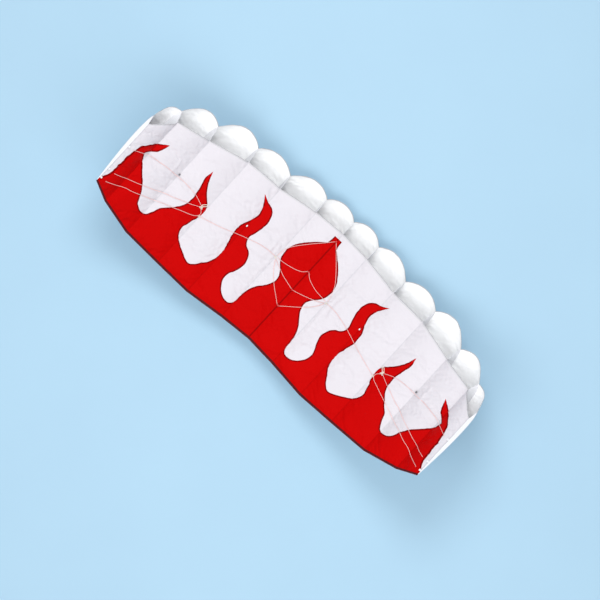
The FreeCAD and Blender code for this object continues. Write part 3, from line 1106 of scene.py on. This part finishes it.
def knot(name, centre, normal, size, thread, side, part):
    """A pulled-up overhand knot, drawn as a trefoil."""
    t = np.linspace(0, math.tau, KNOT_POINTS, endpoint=False)
    shape = np.column_stack([
        np.sin(t) + TREFOIL_REACH * np.sin(2 * t),
        np.cos(t) - TREFOIL_REACH * np.cos(2 * t),
        -TREFOIL_RISE * np.sin(3 * t),
    ]) * size
    first = np.cross(normal, (0.0, 1.0, 0.0))
    second = np.cross(normal, first)
    line = centre + shape @ np.array([first * SIDES[side], second, normal])
    rings = tube_rings(line, thread, closed=True)
    count, sides = rings.shape[:2]
    faces = [
        (i * sides + k, i * sides + (k + 1) % sides,
         (i + 1) % count * sides + (k + 1) % sides, (i + 1) % count * sides + k)
        for i in range(count) for k in range(sides)
    ]
    length = float(steps_of(line).sum())
    uvs = [(k / sides, i / count * length) for i in range(count) for k in range(sides)]
    piece = make_mesh(name, rings.reshape(-1, 3), faces, [KNOT_PALE], uvs)
    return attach(piece, body_of(side, part))


def knots(side):
    for name, (x, y, part, size, thread) in KNOTS.items():
        centre = underside_at(side, x * MM, row_y(y), TREFOIL_RISE * size + thread / 2)
        normal = to_side(-inward_of(cell_at(x * MM)), side)
        knot(f"{side}_{name}", centre, normal, size, thread, side, part)


def tow_loop(side):
    """The CAD loop keeps its shape and gets the braided finish."""
    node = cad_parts[f"{side}_tow_loop"]
    node.data.materials.clear()
    node.data.materials.append(LOOP_PALE)


def bridle(side):
    for name, route in FAN_ROUTES.items():
        bridle_line(side, name, route, "center", 0)
    bridle_line(side, "lead", LEAD_ROUTE, "inner", 2)
    for name, route in TIP_ROUTES.items():
        bridle_line(side, name, route, "outer")
    for number, y in enumerate(TIP_TABS, 1):
        tab(f"{side}_tip_tab_{number}", side, CELLS, y, "outer", TAB_WHITE)
    for rib, y in SPARE_TABS.items():
        tab(f"{side}_spare_tab_{rib}", side, rib, y, BODY_OF_RIB[rib], TAB_COLOURS[rib])
    knots(side)
    tow_loop(side)


def centre_tabs():
    for number, y in enumerate(FAN_TABS, 1):
        tab(f"center_tab_{number}", "right", 0, y, "center", TAB_RED)


# ---- ribs ----
def rib_finish():
    for name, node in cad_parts.items():
        if "rib" in name:
            node.data.materials.clear()
            node.data.materials.append(RIB_WHITE)


# ---- stage ----
FLOOR_HALF = 30.0
FLOOR_DROP = 0.5 * MM


def floor():
    corners = [(x * FLOOR_HALF, y * FLOOR_HALF, 0) for x, y in ((-1, -1), (1, -1), (1, 1), (-1, 1))]
    piece = make_mesh("floor", corners, [(0, 1, 2, 3)], [plain_floor()])
    piece.location.z = -FLOOR_DROP


def area_light(name, place, aim, size, power):
    data = bpy.data.lights.new(name, "AREA")
    data.shape = "DISK"
    data.size = size
    data.energy = power
    light = in_scene(name, data)
    light.location = place
    light.rotation_euler = (Vector(aim) - Vector(place)).to_track_quat("-Z", "Y").to_euler()


def lights():
    area_light("key", (-1.5, 1.9, 4.6), (0, 0, 0.1), 2.4, 120)
    area_light("back", (0.0, -2.2, 4.6), (0, 0.3, 0.1), 3.2, 85)
    area_light("fill", (2.8, -1.0, 4.0), (0, 0, 0.1), 3.0, 50)
    world = bpy.data.worlds.new("studio")
    world.use_nodes = True
    background = world.node_tree.nodes["Background"]
    background.inputs["Color"].default_value = (0.93, 0.96, 1, 1)
    background.inputs["Strength"].default_value = 0.72
    bpy.context.scene.world = world


def camera():
    data = bpy.data.cameras.new("camera")
    data.sensor_width = 36
    data.lens = data.sensor_width * (CAMERA_HEIGHT - KITE_MIDDLE_HEIGHT) / FRAME_WIDTH
    data.clip_end = 100
    view = in_scene("camera", data)
    view.location = (*CAMERA_AIM, CAMERA_HEIGHT)
    view.rotation_euler = (0, 0, CAMERA_TURN)
    bpy.context.scene.camera = view
    bpy.context.scene.view_settings.view_transform = "Standard"


# ---- putting it together ----
camera()
for wing in SIDES:
    bridle(wing)
centre_tabs()
cuts = [cut_cell(number) for number in range(CELLS)]
for wing in SIDES:
    for number in range(CELLS):
        under_panel(wing, number, cuts[number])
        upper_panel(wing, number)
        flame_edges(wing, number)
        for face in SKINS:
            intake_hem(wing, number, face)
            seam_binding(wing, number + 1, face)
    trailing_tape(wing, "center", [0])
    trailing_tape(wing, "inner", [1, 2])
    trailing_tape(wing, "outer", [3, 4, 5])
for face in SKINS:
    seam_binding("right", 0, face)
rib_finish()
floor()
lights()
